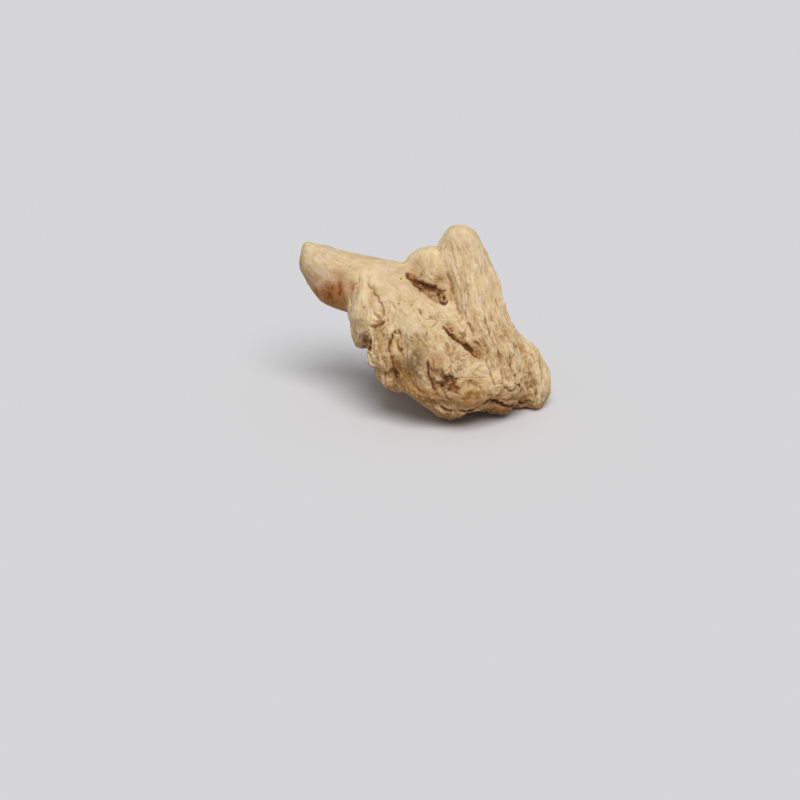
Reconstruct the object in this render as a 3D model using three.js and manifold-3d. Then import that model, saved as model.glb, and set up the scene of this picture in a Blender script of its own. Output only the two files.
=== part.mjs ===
// A whole dried ginger root: one branched rhizome, peeled, bleached and shrunk hard as it dried.
// A thick heart carries two plump lobes and a smooth thumb, with buds, knobs and stem scars on them.
// Millimetres, +Z up. The root lies as it rests on a table: +X runs to its right, -Y is its broad front,
// and low points under its belly, its heel and the lobe behind it carry its weight.
// The origin is under the middle of its box, on the table.
import * as THREE from "three";
import { ImprovedNoise } from "three/addons/math/ImprovedNoise.js";
import { mergeVertices } from "three/addons/utils/BufferGeometryUtils.js";
import Module from "manifold-3d";

const wasm = await Module();
wasm.setup();
const noise = new ImprovedNoise();

// The broad front leans back a little, so the lobes are flattened across this direction.
const FRONT = new THREE.Vector3(0, -0.91, 0.42);
// The flesh is lumpy at two scales: how far apart the lumps lie, and how high they stand.
const LUMPS = [
  { span: 9, height: 1.5 },
  { span: 4.2, height: 0.6 },
];
// How much of its flare a lobe's skin rises by where it runs into a neighbour.
const FLARE_HEIGHT = 0.3;
// The lowest points are worn to flat spots on the table: everything under z = 0 is cut away.
const TABLE = { width: 120, height: 20 };
// How often a wrinkle dies out or forks on its way along a lobe.
const RIDGE_RUN = 3;
// In shares of ridgeDepth, how far a wrinkle's bottom lies in, and how steeply the skin rises from it.
const TROUGH = 0.6;
const RISE = 2.4;
// Where the noise of the first lobe is read, and how far on that of each next one.
const SEED = 1.37;
const SEED_STEP = 2.71;
// How closely a neighbouring lobe is sampled when a lobe swells to meet it.
const NEIGHBOUR_SAMPLES = 18;

// Each lobe is a list of stations along its middle, [x, y, z, half width, half depth], from tip to root.
// The first and last stations are the ends of the lobe's caps, and bluntness squares the caps off:
// 2 is round. flare is how far off a neighbour the skin starts to swell into it. ridges is how closely
// the lengthwise wrinkles lie, ridgeDepth how deep the skin is drawn in between them, and twist how far
// they turn round the lobe.
const LOBES = {
  rightLobe: {
    stations: [
      [7.5, 13, 50, 6, 6],
      [9.5, 12, 43.5, 6.5, 6],
      [11.5, 10, 36.5, 7, 7],
      [12.5, 6, 29, 7.5, 8],
      [15.5, 3, 21, 8.5, 9],
      [22, 3, 12, 9, 9],
      [28, 3, 0.5, 7, 7],
    ],
    around: 56,
    along: 28,
    bluntness: 2.3,
    lumpiness: 0.8,
    flare: 4,
    ridges: 2.6,
    ridgeDepth: 0.7,
    twist: 0.5,
  },
  frontLobe: {
    stations: [
      [-15, -2, 17.5, 8, 7],
      [-11, -3.5, 18.5, 9, 7.5],
      [-4.5, -4.5, 17.5, 10.5, 9],
      [2, -5.5, 16, 12, 10.5],
      [9, -5.5, 13, 12, 10.5],
      [16.5, -3.5, 10, 8.5, 8.5],
      [26, 0, 5.5, 7.5, 7.5],
    ],
    around: 56,
    along: 24,
    bluntness: 2.8,
    lumpiness: 1.1,
    flare: 6,
    ridges: 2,
    ridgeDepth: 0.8,
    twist: -0.6,
  },
  heart: {
    stations: [
      [-13.5, 6, 28.5, 7, 7],
      [-9, 4, 25.5, 8, 8],
      [-1, 2.5, 22, 9.5, 9.5],
      [8, 3, 16.5, 9.5, 9.5],
      [18, 2, 12, 8.5, 9],
      [25.5, 2, 8.5, 7, 7],
    ],
    around: 32,
    along: 14,
    bluntness: 2,
    lumpiness: 1,
    flare: 7,
    ridges: 1.6,
    ridgeDepth: 0.5,
    twist: 0.2,
  },
  middlePlate: {
    stations: [
      [-20.5, 11, 31, 5, 4.5],
      [-16, 10, 31.5, 6.5, 5.5],
      [-9.5, 7.5, 31, 8, 6.5],
      [-3, 6, 29, 8, 7],
      [3, 6, 25, 7.5, 7],
      [9, 6, 19.5, 6, 6],
    ],
    around: 36,
    along: 18,
    bluntness: 2.4,
    lumpiness: 0.7,
    flare: 7,
    ridges: 1.5,
    ridgeDepth: 0.5,
    twist: 0.2,
  },
  leftThumb: {
    stations: [
      [-33.5, 17, 42.5, 3, 3.5],
      [-31, 16.5, 39, 5.5, 5],
      [-27.5, 15.5, 36, 7, 6],
      [-22.5, 14, 33.5, 8, 6.5],
      [-15.5, 12, 33, 7.5, 7],
      [-9, 9, 32.5, 8, 6.5],
      [-2.5, 6, 31, 6, 6],
    ],
    around: 36,
    along: 20,
    bluntness: 2.4,
    lumpiness: 0.3,
    flare: 5,
    ridges: 1.1,
    ridgeDepth: 0.25,
    twist: 0.1,
  },
  leftNub: {
    stations: [
      [-15.5, 7.5, 36, 3.5, 4.5],
      [-16, 5, 32, 5, 5],
      [-16.5, 3, 27, 5.5, 5],
      [-17, 2, 22, 4.5, 4.5],
      [-16.5, 2, 18, 3, 3],
    ],
    around: 24,
    along: 14,
    bluntness: 2.2,
    lumpiness: 0.8,
    flare: 2.5,
    ridges: 1.6,
    ridgeDepth: 0.6,
    twist: 0.3,
  },
  topKnob: {
    stations: [
      [-6.5, 12, 37.5, 4, 4.5],
      [-2.5, 12, 38, 5, 5],
      [3, 11.5, 38, 5.5, 5.5],
      [8.5, 9.5, 36.5, 5.5, 5.5],
      [13.5, 9, 32.5, 5, 5],
    ],
    around: 28,
    along: 14,
    bluntness: 2.2,
    lumpiness: 0.8,
    flare: 2.5,
    ridges: 1.6,
    ridgeDepth: 0.5,
    twist: 0,
  },
  heelNub: {
    stations: [
      [25.5, 5, 18, 3, 3],
      [28, 4, 14.5, 4, 5],
      [29.5, 3.5, 9, 4.5, 6],
      [30.5, 3.5, 4, 4, 5.5],
      [31, 4, -0.5, 3.5, 4],
    ],
    around: 24,
    along: 14,
    bluntness: 2.2,
    lumpiness: 0.8,
    flare: 2,
    ridges: 2,
    ridgeDepth: 0.5,
    twist: 0.2,
  },
  frontBud: {
    stations: [
      [5, -12, 13, 3, 3],
      [9.5, -13, 11.5, 4, 4],
      [13, -12, 11, 4.5, 4],
      [17.5, -10.5, 11.5, 4, 4],
      [21, -9, 12.5, 3, 3],
    ],
    around: 20,
    along: 12,
    bluntness: 2,
    lumpiness: 0.5,
    flare: 2,
    ridges: 1,
    ridgeDepth: 0.2,
    twist: 0,
  },
  belly: {
    stations: [
      [10, 2, 14, 7, 7],
      [8, -1, 9.5, 7, 7],
      [6, -3.5, 5.5, 6, 6],
      [5, -5, -0.5, 4.5, 4.5],
    ],
    around: 24,
    along: 10,
    bluntness: 2,
    lumpiness: 0.6,
    flare: 4,
    ridges: 1.6,
    ridgeDepth: 0.4,
    twist: 0.3,
  },
  backPlate: {
    stations: [
      [22, 7.5, 16, 6, 6],
      [15, 9, 21.5, 8, 8],
      [5, 10.5, 25, 9, 8],
      [-5, 11.5, 27.5, 8, 7.5],
      [-14, 12, 30.5, 6.5, 6],
    ],
    around: 28,
    along: 14,
    bluntness: 2,
    lumpiness: 1,
    flare: 7,
    ridges: 1.8,
    ridgeDepth: 0.7,
    twist: 0.4,
  },
  backLobe: {
    stations: [
      [-14, 17.5, 9.5, 5, 5],
      [-8.5, 18, 8.5, 7.5, 7.5],
      [-0.5, 17.5, 9, 9, 8],
      [9, 16, 9, 9, 8.5],
      [18, 11, 9.5, 8.5, 8],
      [26, 6, 8.5, 6.5, 6.5],
    ],
    around: 38,
    along: 16,
    bluntness: 2.3,
    lumpiness: 1.2,
    flare: 6,
    ridges: 1.9,
    ridgeDepth: 0.8,
    twist: 0.5,
  },
  backBud: {
    stations: [
      [4, 13, 26, 5, 5],
      [2.5, 17.5, 26.5, 5.5, 5],
      [0.5, 21.5, 25.5, 4.5, 4.5],
      [-0.5, 24, 24.5, 3, 3],
    ],
    around: 22,
    along: 10,
    bluntness: 2.4,
    lumpiness: 0.8,
    flare: 4,
    ridges: 1.4,
    ridgeDepth: 0.5,
    twist: 0,
  },
};

// Where lobes meet, and where the shrunk skin has torn or folded, it is drawn in along a line on the
// surface: points on that line, how far to its sides the skin is drawn in, and how deep.
const CREASES = {
  betweenLobes: {
    line: [
      [2, -3.5, 31],
      [6.5, -6, 27.5],
      [11, -8, 24],
      [16, -9.5, 20],
    ],
    width: 2.6,
    depth: 2.2,
  },
  besideKnob: {
    line: [
      [-8, 6.5, 40.5],
      [-2, 3, 37],
      [3.5, 1, 33.5],
      [6.5, -0.5, 32],
    ],
    width: 2,
    depth: 1.4,
  },
  rightLobeFurrow: {
    line: [
      [5, 6, 41],
      [6.5, 4, 35.5],
      [8, -0.5, 31.5],
      [10, -4.5, 28],
      [13, -7, 24.5],
    ],
    width: 1.8,
    depth: 1,
  },
  frontTear: {
    line: [
      [-6, -7, 29.5],
      [-7.5, -10, 24.5],
      [-9, -12, 20],
      [-9.5, -12, 14],
    ],
    width: 2,
    depth: 1.6,
  },
  leftTear: {
    line: [
      [-10.5, -4.5, 29.5],
      [-11, -8.5, 24.5],
      [-11.5, -12, 18.5],
    ],
    width: 1.6,
    depth: 1.1,
  },
  besideNub: {
    line: [
      [-16, -3.5, 23],
      [-14.5, -3.5, 27.5],
      [-12, -4.5, 29],
      [-9, -5, 30],
    ],
    width: 1.8,
    depth: 1.3,
  },
  underBud: {
    line: [
      [3, -15, 8.5],
      [10, -15.5, 7],
      [17.5, -14, 8],
      [24, -9, 7],
    ],
    width: 2.2,
    depth: 1.8,
  },
  frontScar: {
    line: [
      [0, -16, 20],
      [3.5, -17, 17],
      [8, -17, 15.5],
    ],
    width: 3.2,
    depth: 1.6,
  },
  heelFold: {
    line: [
      [28.5, -0.5, 18],
      [29, -2, 12],
      [28.5, -2.5, 6],
    ],
    width: 1.8,
    depth: 1.2,
  },
  backFold: {
    line: [
      [20, 14, 17],
      [11, 18, 21],
      [1, 19.5, 23.5],
      [-9, 17.5, 26],
    ],
    width: 2.6,
    depth: 1.4,
  },
};
// How many pieces each of these lines is measured in.
const CREASE_STEPS = 24;

// Deeper hollows are cut out of the joined lobes: the crumbly gap under the knob, pits between the two
// great lobes, and the scar where a bud broke off the nub. Each is grown as a lobe is, from its stations.
const HOLLOWS = {
  underKnob: [
    [-5, 4.6, 38.4, 0.7, 1.1],
    [-3.2, 3.8, 37.4, 1.2, 1.8],
    [-1, 2.8, 36.1, 1.5, 2.2],
    [1.4, 2, 34.8, 1.6, 2.3],
    [3.4, 1.4, 33.5, 1.2, 1.8],
    [5, 0.7, 32.4, 0.7, 1.1],
  ],
  upperPit: [
    [6, -6, 28.6, 0.7, 0.9],
    [7.6, -7.2, 27.3, 1.1, 1.4],
    [9.4, -8, 26, 0.7, 0.9],
  ],
  lowerPit: [
    [9.8, -8.2, 25.4, 0.8, 1],
    [11.6, -9, 24.1, 1.4, 1.7],
    [14.2, -9.8, 22.3, 0.8, 1],
  ],
  nubScar: [
    [-18.4, -1.6, 21.6, 0.7, 0.9],
    [-17.2, -2.2, 21, 1.3, 1.5],
    [-15.8, -2.6, 20.8, 1.3, 1.5],
    [-14.8, -2.8, 20.8, 0.8, 1],
  ],
};
const HOLLOW = {
  around: 12,
  along: 10,
  bluntness: 2,
  lumpiness: 0.2,
  flare: 0,
  ridges: 2.2,
  ridgeDepth: 0.5,
  ridgeRun: 9,
  twist: 0,
};

// A lobe's middle line, its girth, and at each t from 0 to 1 its cross-section's own directions.
function skeletonOf({ stations }) {
  const line = new THREE.CatmullRomCurve3(stations.map(([x, y, z]) => new THREE.Vector3(x, y, z)));
  const girth = new THREE.CatmullRomCurve3(stations.map(([, , , w, d]) => new THREE.Vector3(w, d, 0)));
  const capShare = 1 / (stations.length - 1);
  const sectionAt = (t) => {
    const forward = line.getTangent(t);
    const outward = FRONT.clone().addScaledVector(forward, -FRONT.dot(forward)).normalize();
    const size = girth.getPoint(t);
    return { centre: line.getPoint(t), forward, outward, sideways: outward.clone().cross(forward), size };
  };
  const inside = Array.from({ length: NEIGHBOUR_SAMPLES + 1 }, (_, i) =>
    sectionAt(capShare + ((1 - 2 * capShare) * i) / NEIGHBOUR_SAMPLES),
  );
  return { capShare, sectionAt, inside };
}

// About how far a point lies outside a lobe, and less than nothing inside it.
function distanceTo({ inside }, point) {
  const arm = new THREE.Vector3();
  return inside.reduce((nearest, { centre, forward, outward, sideways, size }) => {
    arm.subVectors(point, centre);
    const mean = (size.x + size.y) / 2;
    const share = Math.hypot(arm.dot(sideways) / size.x, arm.dot(outward) / size.y, arm.dot(forward) / mean);
    return Math.min(nearest, (share - 1) * mean);
  }, Infinity);
}

// How deep the skin is drawn in at a point by the crease nearest to it.
function drawnIn(creases, point) {
  return creases.reduce((deepest, { points, width, depth }) => {
    const gap = Math.min(...points.map((other) => other.distanceTo(point)));
    const near = Math.max(0, 1 - gap / width);
    return Math.max(deepest, depth * near * near * (3 - 2 * near));
  }, 0);
}

// A lobe's skin: a sphere's rows of points strung along the lobe's middle line, made uneven by lumps and
// lengthwise wrinkles that die away towards the two poles, swollen where it meets a neighbour, and drawn
// in along the creases. A hollow's skin is grown the same way, with no neighbours and no creases.
function growForm(form, seed, neighbours, creases) {
  const { around, along, bluntness, lumpiness, flare, ridges, ridgeDepth, ridgeRun, twist } = form;
  const { capShare, sectionAt } = skeletonOf(form);
  const skin = new THREE.SphereGeometry(1, around, along);
  const points = skin.attributes.position;
  const point = new THREE.Vector3();
  for (let i = 0; i < points.count; i++) {
    point.fromBufferAttribute(points, i);
    const t = (1 - point.y) / 2;
    const angle = Math.atan2(point.z, point.x);
    const { centre, outward, sideways, size } = sectionAt(t);
    const nearEnd = Math.min(1, t / capShare, (1 - t) / capShare);
    const cap = (1 - (1 - nearEnd) ** bluntness) ** (1 / bluntness);
    const radial = sideways
      .multiplyScalar(size.x * Math.cos(angle))
      .addScaledVector(outward, size.y * Math.sin(angle))
      .multiplyScalar(cap);
    const turned = angle + twist * t;
    const fold = Math.abs(
      noise.noise(ridges * Math.cos(turned) + seed, ridges * Math.sin(turned) + seed, ridgeRun * t + seed),
    );
    const at = centre.clone().add(radial);
    const lump = LUMPS.reduce(
      (sum, { span, height }) => sum + height * noise.noise(at.x / span + seed, at.y / span, at.z / span),
      0,
    );
    const swells = neighbours.map((other) => {
      const reach = Math.min(flare, other.flare);
      const near = Math.max(0, 1 - Math.abs(distanceTo(other, at)) / reach);
      return FLARE_HEIGHT * reach * near * near;
    });
    const ridge = ridgeDepth * (RISE * fold - TROUGH) * cap;
    const raise = ridge + lumpiness * lump + Math.hypot(...swells) - drawnIn(creases, at);
    at.addScaledVector(radial.normalize(), raise * cap);
    points.setXYZ(i, at.x, at.y, at.z);
  }
  return skin;
}

// A closed geometry as a manifold-3d solid.
function solidOf(geometry) {
  geometry.deleteAttribute("normal");
  geometry.deleteAttribute("uv");
  const merged = mergeVertices(geometry);
  return new wasm.Manifold(
    new wasm.Mesh({
      numProp: 3,
      vertProperties: merged.attributes.position.array,
      triVerts: merged.index.array,
    }),
  );
}

const creases = Object.values(CREASES).map(({ line, width, depth }) => {
  const curve = new THREE.CatmullRomCurve3(line.map(([x, y, z]) => new THREE.Vector3(x, y, z)));
  return { points: curve.getPoints(CREASE_STEPS), width, depth };
});
const lobes = Object.values(LOBES).map((lobe) => ({ ridgeRun: RIDGE_RUN, ...lobe }));
const skeletons = lobes.map((lobe) => ({ flare: lobe.flare, ...skeletonOf(lobe) }));
let root = lobes
  .map((lobe, i) => solidOf(growForm(lobe, SEED + SEED_STEP * i, skeletons.toSpliced(i, 1), creases)))
  .reduce((joined, lobe) => joined.add(lobe));
root = Object.values(HOLLOWS)
  .map((stations, i) => solidOf(growForm({ stations, ...HOLLOW }, SEED - SEED_STEP * i, [], [])))
  .reduce((left, hollow) => left.subtract(hollow), root);
const underTable = new THREE.BoxGeometry(TABLE.width, TABLE.width, TABLE.height);
underTable.translate(0, 0, -TABLE.height / 2);
root = root.subtract(solidOf(underTable));

const { vertProperties, triVerts } = root.getMesh();
const flesh = new THREE.BufferGeometry();
flesh.setAttribute("position", new THREE.BufferAttribute(vertProperties, 3));
flesh.setIndex(new THREE.BufferAttribute(triVerts, 1));
flesh.computeVertexNormals();
flesh.computeBoundingBox();
const middle = flesh.boundingBox.getCenter(new THREE.Vector3());
flesh.translate(-middle.x, -middle.y, 0);

const gingerRoot = new THREE.Mesh(
  flesh,
  new THREE.MeshStandardMaterial({ color: 0xd8bf93, roughness: 0.9, metalness: 0 }),
);
gingerRoot.name = "ginger_root";

const group = new THREE.Group();
group.add(gingerRoot);
export default group;
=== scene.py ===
import math

import bmesh
import bpy
import numpy as np
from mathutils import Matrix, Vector, noise
from mathutils.bvhtree import BVHTree
from mathutils.kdtree import KDTree


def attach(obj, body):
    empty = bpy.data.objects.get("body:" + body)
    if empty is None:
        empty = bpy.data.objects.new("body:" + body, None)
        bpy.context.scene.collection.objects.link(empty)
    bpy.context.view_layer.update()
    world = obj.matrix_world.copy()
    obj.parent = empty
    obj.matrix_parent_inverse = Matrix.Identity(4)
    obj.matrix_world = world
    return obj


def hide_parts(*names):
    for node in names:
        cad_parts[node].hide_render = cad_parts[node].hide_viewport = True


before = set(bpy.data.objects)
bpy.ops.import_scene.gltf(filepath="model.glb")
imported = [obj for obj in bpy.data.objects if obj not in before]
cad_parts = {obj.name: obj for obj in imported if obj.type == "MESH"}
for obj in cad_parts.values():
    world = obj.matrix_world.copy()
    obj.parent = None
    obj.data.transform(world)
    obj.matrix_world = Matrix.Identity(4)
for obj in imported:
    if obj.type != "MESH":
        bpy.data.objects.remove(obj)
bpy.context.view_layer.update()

# ---------------------------------------------------------------------------------------------------
# The root's flesh. One rhizome of ginger, peeled, bleached and dried until it shrank hard: its skin is
# one closed surface over all the lobes, remeshed finely enough to carry the wrinkles drawn into it below.
MM = 0.001
SKIN_VOXEL = 0.38 * MM
SETTLE_ROUNDS = 30

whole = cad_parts["ginger_root"]
flesh = bmesh.new()
flesh.from_mesh(whole.data)
bmesh.ops.remove_doubles(flesh, verts=flesh.verts, dist=0.01 * MM)
skin_mesh = bpy.data.meshes.new("dried_skin")
flesh.to_mesh(skin_mesh)
flesh.free()
root = bpy.data.objects.new("dried_root", skin_mesh)
bpy.context.scene.collection.objects.link(root)
remesh = root.modifiers.new("close skin", "REMESH")
remesh.mode = "VOXEL"
remesh.voxel_size = SKIN_VOXEL
dense_mesh = bpy.data.meshes.new_from_object(root.evaluated_get(bpy.context.evaluated_depsgraph_get()))
root.modifiers.clear()
root.data = dense_mesh

skin = bmesh.new()
skin.from_mesh(dense_mesh)
at = np.array([v.co for v in skin.verts]) / MM
edges = np.array([[v.index for v in e.verts] for e in skin.edges])
touching = np.bincount(edges.ravel(), minlength=len(at))


def near_by(values):
    """The mean of each skin point's neighbours."""
    total = np.bincount(edges[:, 0], values[edges[:, 1]], len(values))
    return (total + np.bincount(edges[:, 1], values[edges[:, 0]], len(values))) / touching


def spread(values, rounds):
    """Each value shared with its neighbours on the skin, as many times as rounds."""
    for _ in range(rounds):
        values = 0.5 * values + 0.5 * near_by(values)
    return values


# The remeshed facets are settled into round flesh, pulled in and let out again so that it doesn't shrink.
for _ in range(SETTLE_ROUNDS):
    for pull in (0.5, -0.52):
        at += pull * (np.stack([near_by(at[:, k]) for k in range(3)], axis=1) - at)


def ease(values, start, end):
    """0 before start and 1 after end, smoothly between them."""
    t = np.clip((values - start) / (end - start), 0, 1)
    return t * t * (3 - 2 * t)


def mottle(points, span, seed):
    """Noise from about -1 to 1 over points, with patches about span across."""
    shift = Vector((seed * 3.7, seed * 1.9, -seed * 2.3))
    return np.array([noise.noise(Vector(p) / span + shift) for p in points])


def close_to(middle, reach, fade):
    """1 round a point and 0 past its reach, eased over the outer part of the reach that fade gives."""
    return ease(1 - np.linalg.norm(at - np.array(middle), axis=1) / reach, 0, fade)


# Hollows that crumbs of torn flesh have filled again: [x, y, z] and reach in millimetres.
FILLED = [
    ((-1, 0, 35.8), 6.5), ((2.5, -1, 34.5), 5), ((4.8, 1.4, 38.6), 5.5),       # the knob's cavity
    ((6.2, -1.2, 34.4), 4.5), ((7.6, -2, 32.5), 4), ((6.2, -1, 34.4), 3),
    ((-16.7, -6.5, 21.3), 3.4),                                                # the nub's scar
    ((29, -6, 12.5), 5), ((28.5, -5.5, 16), 4),                                # the heel
    ((14.5, -13, 20.5), 3.5),                                                  # beside the groove
    ((24.4, -12.5, 8.2), 4.5), ((21.6, -14.6, 9), 4),                          # the right lobe's low edge
    ((18.8, -18.2, 10.8), 3),
    ((-2.8, -0.2, 35.6), 2.5), ((5.4, -0.6, 35.4), 3),                         # the cavity's two ends
    ((-16.6, -7, 22), 3),                                                      # the nub's scar again
]
FILL_ROUNDS = 70
FILL_SHARE = 0.85
# Where the lobes stand out further or less far: [x, y, z], reach and how far along each axis.
DRAWN_OUT = [
    ((-34, 11, 44), 4.5, (-0.5, 0, 1.9)),       # the thumb's tip
    ((1.5, 1.4, 38.4), 5, (0, -2, -0.3)),       # the knob over its cavity
    ((-1, 6, 43), 5, (0, -0.4, 0.6)),           # the knob's top
    ((34, -1, 10), 9, (0.6, 0, 0)),             # the heel
    ((20.5, 2, 31), 9, (1.3, 0, 0.2)),          # the right lobe's outer side
    ((18.6, 3.6, 38), 7, (0.6, 0, 0.1)),
    ((-28.5, 7, 29.5), 8, (-0.5, 0, -0.55)),    # under the thumb
    ((2.9, 8.6, 43.4), 5, (0, 0, 0.8)),         # between the knob and the right lobe
    ((-10.4, 2.5, 40.2), 6, (0, 0, -0.5)),      # the plate's top
    ((-26.5, 9.8, 42.4), 5, (0, 0, -0.6)),      # the thumb's top
    ((-20, 7.5, 40.6), 5, (0, 0, 0.4)),
    ((30.5, -4, 17.5), 5, (0.3, 0, 0.5)),       # the heel's shoulder
    ((22.5, -13, 8.5), 5, (0, -0.5, -0.3)),     # the right lobe's lower edge
    ((-9, -15.5, 13), 4.5, (0.3, 0, 0.9)),      # the front lobe's end
]
filled = np.stack([spread(at[:, k], FILL_ROUNDS) for k in range(3)], axis=1)
for middle, reach in FILLED:
    at += FILL_SHARE * close_to(middle, reach, 0.5)[:, None] * (filled - at)
for middle, reach, shift in DRAWN_OUT:
    at += close_to(middle, reach, 1)[:, None] * np.array(shift)
for vert, spot in zip(skin.verts, at):
    vert.co = Vector(spot) * MM
skin.normal_update()
out = np.array([v.normal for v in skin.verts])
# The spots that the root rests on stay flat, and the relief below grows to its full height over them.
FLAT_HEIGHT = 0.3
FULL_HEIGHT = 1.9
clear = np.clip((at[:, 2] - FLAT_HEIGHT) / (FULL_HEIGHT - FLAT_HEIGHT), 0, 1)


# ---------------------------------------------------------------------------------------------------
# The wrinkles. As the root dries its skin is drawn in between the fibres, in long wrinkles that fork and
# die away, and where the flesh shrank most it is crumpled as well. The fibres follow these middle lines,
# each a row of [x, y, z, girth] in millimetres with how far the skin is drawn in and how far crumpled.
LOBES = {
    "right lobe": [(7.7, 8.4, 52, 6, 0.35, 0.1), (9.7, 7.4, 43.5, 6.5, 0.7, 0.05),
                   (11.7, 5.4, 36.5, 7, 0.9, 0.06), (12.7, 1.4, 29, 8, 1, 0.2),
                   (15.7, -1.6, 21, 9, 1.1, 0.55), (19.5, -3.5, 13, 10, 1.1, 0.75),
                   (21, -4, 6, 10, 1.1, 0.85), (21, -4, 0, 9, 1, 1)],
    "front lobe": [(-5, -7, 29, 8, 0.7, 0.3), (-2, -8, 22, 11, 0.9, 0.5), (2, -9, 13, 11.5, 1, 1.15),
                   (6, -9, 5, 9, 1, 1.15)],
    "front lobe's end": [(-9, -7, 29, 5, 1, 1), (-9, -8.5, 21, 7.3, 1.2, 1.3),
                         (-8, -9, 12, 7.5, 1.2, 1.3), (-6, -9, 5, 7, 1, 1)],
    "middle plate": [(-20, 6.5, 31, 5, 0.3, 0.15), (-15.5, 5.5, 31.5, 6, 0.4, 0.25),
                     (-9, 3, 31, 7, 0.5, 0.3), (-3, 1.5, 29, 7.5, 0.6, 0.3),
                     (3, 1.5, 25, 7, 0.7, 0.45), (9, 1.5, 19.5, 6, 1, 0.7)],
    "left thumb": [(-33.5, 12.5, 42.5, 3, 0.2, 0), (-31, 12, 39, 5.5, 0.2, 0),
                   (-27.5, 11, 36, 7, 0.22, 0.03), (-22, 9.5, 33.5, 7.5, 0.25, 0.06),
                   (-15, 7.5, 33, 7.5, 0.3, 0.1), (-8.5, 4.5, 32.5, 7, 0.35, 0.15)],
    "left nub": [(-15.3, 3, 36, 3.5, 0.4, 0.3), (-16, 0, 32, 5, 0.4, 0.25),
                 (-16.5, -2, 27, 5, 0.5, 0.35), (-17, -3, 22, 4.5, 0.8, 0.7),
                 (-16.5, -2.5, 18, 3, 1, 1)],
    "top knob": [(-3, 9, 43, 4.5, 0.6, 0.3), (-0.5, 7.5, 39.5, 5.5, 0.7, 0.4),
                 (2.5, 6, 36, 5.5, 0.8, 0.5), (5, 4, 32, 5, 0.9, 0.5)],
    "knob's left": [(-7, 8, 37.5, 4, 0.6, 0.3), (-4, 7.5, 37.5, 4.5, 0.6, 0.4)],
    "heel nub": [(26, 0.5, 18, 3, 0.8, 0.5), (28.5, -0.5, 14.5, 4.5, 0.7, 0.4), (30, -1, 9, 5, 0.7, 0.5),
                 (30.5, -1, 4, 4.5, 0.9, 0.8), (31, -0.5, 0, 4, 1, 0.9)],
    "front bud": [(6, -15.5, 12, 3, 0.9, 0.6), (9.5, -17, 11.5, 4, 0.9, 0.45),
                  (13, -16.5, 11, 4.5, 0.9, 0.4), (17.5, -15, 10.5, 4, 0.9, 0.5),
                  (20, -13.5, 10, 3, 1, 0.7)],
    "belly": [(10, -2.5, 14, 7, 1, 0.8), (8, -5.5, 9.5, 7, 1, 0.9), (6, -8, 5.5, 6, 1, 0.9),
              (5, -9.5, 0, 4.5, 1, 0.9)],
    "back plate": [(22, 3, 16, 6, 0.9, 0.7), (15, 4.5, 21.5, 8, 0.8, 0.5), (5, 6, 25, 8.5, 0.8, 0.5),
                   (-5, 7, 27.5, 7.5, 0.7, 0.5), (-14, 7.5, 30.5, 6, 0.5, 0.3)],
    "back lobe": [(-14, 13, 9.5, 5, 0.6, 0.4), (-8.5, 13.5, 8.5, 7.5, 0.8, 0.5),
                  (-0.5, 13, 9, 8.5, 0.9, 0.6), (9, 11.5, 9, 9, 1, 0.7),
                  (18, 6.5, 9.5, 8, 1, 0.8), (26, 1.5, 8.5, 6.5, 1, 0.8)],
    "back bud": [(4, 8.5, 26, 5, 0.8, 0.5), (2.5, 13, 26.5, 5, 0.6, 0.3), (0.5, 17, 25.5, 4.5, 0.5, 0.3),
                 (-0.5, 19.5, 24.5, 3, 0.7, 0.6)],
}
# The wrinkles of each size: how far apart they lie, how deep the skin is drawn in, how many times longer
# than apart they run, how narrow their bottoms are, and how much of the skin has them.
DRAWN = [
    {"apart": 4.4, "deep": 0.3, "long": 5, "narrow": 1.8, "share": 1},
    {"apart": 1.6, "deep": 0.26, "long": 8, "narrow": 2.2, "share": 1},
    {"apart": 0.85, "deep": 0.22, "long": 7, "narrow": 2.6, "share": 1},
]
CRUMPLED = [
    {"apart": 3.4, "deep": 0.55, "long": 2.4, "narrow": 2.2, "share": 1},
    {"apart": 1.8, "deep": 0.34, "long": 3, "narrow": 2.6, "share": 1},
    {"apart": 0.9, "deep": 0.26, "long": 2.6, "narrow": 2.8, "share": 1},
    {"apart": 2.2, "deep": 0.5, "long": 6, "narrow": 8, "share": 0.5},
]
# Where the skin stayed taut, [x, y, z], reach and how much of the wrinkling is missing there.
TAUT = [((3.4, -19, 22.4), 4.5, 0.65), ((12.5, -20.4, 11.5), 6, 0.55), ((-5, -18, 14.6), 4.5, 0.4),
        ((-2.5, -17.3, 22.2), 4.5, 0.4), ((-0.5, 5, 42), 6, 0.6)]
# The way the lobes' fronts face, how far a lobe's wrinkles run on into the next one and the least share
# that counts, how far the fibres wander off their lines, and how much longer than wide their marks are.
FRONT = np.array([0, -0.91, 0.42])
LOBE_BORDER = 0.6
LEAST_SHARE = 0.04
WANDER = 1.1
FIBRE_LENGTH = 7


def laid_out(stations, apart, rounds):
    """Places and points a set distance apart along a row of stations, its bends eased by averaging."""
    line = np.array(stations, float)
    steps = np.linalg.norm(np.diff(line[:, :3], axis=0), axis=1)
    lengths = np.concatenate([[0], np.cumsum(steps)])
    ticks = np.linspace(0, lengths[-1], int(lengths[-1] / apart) + 1)
    points = np.stack([np.interp(ticks, lengths, column) for column in line.T], axis=1)
    for _ in range(rounds):
        points[1:-1] = (points[:-2] + 2 * points[1:-1] + points[2:]) / 4
    return ticks, points


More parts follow.
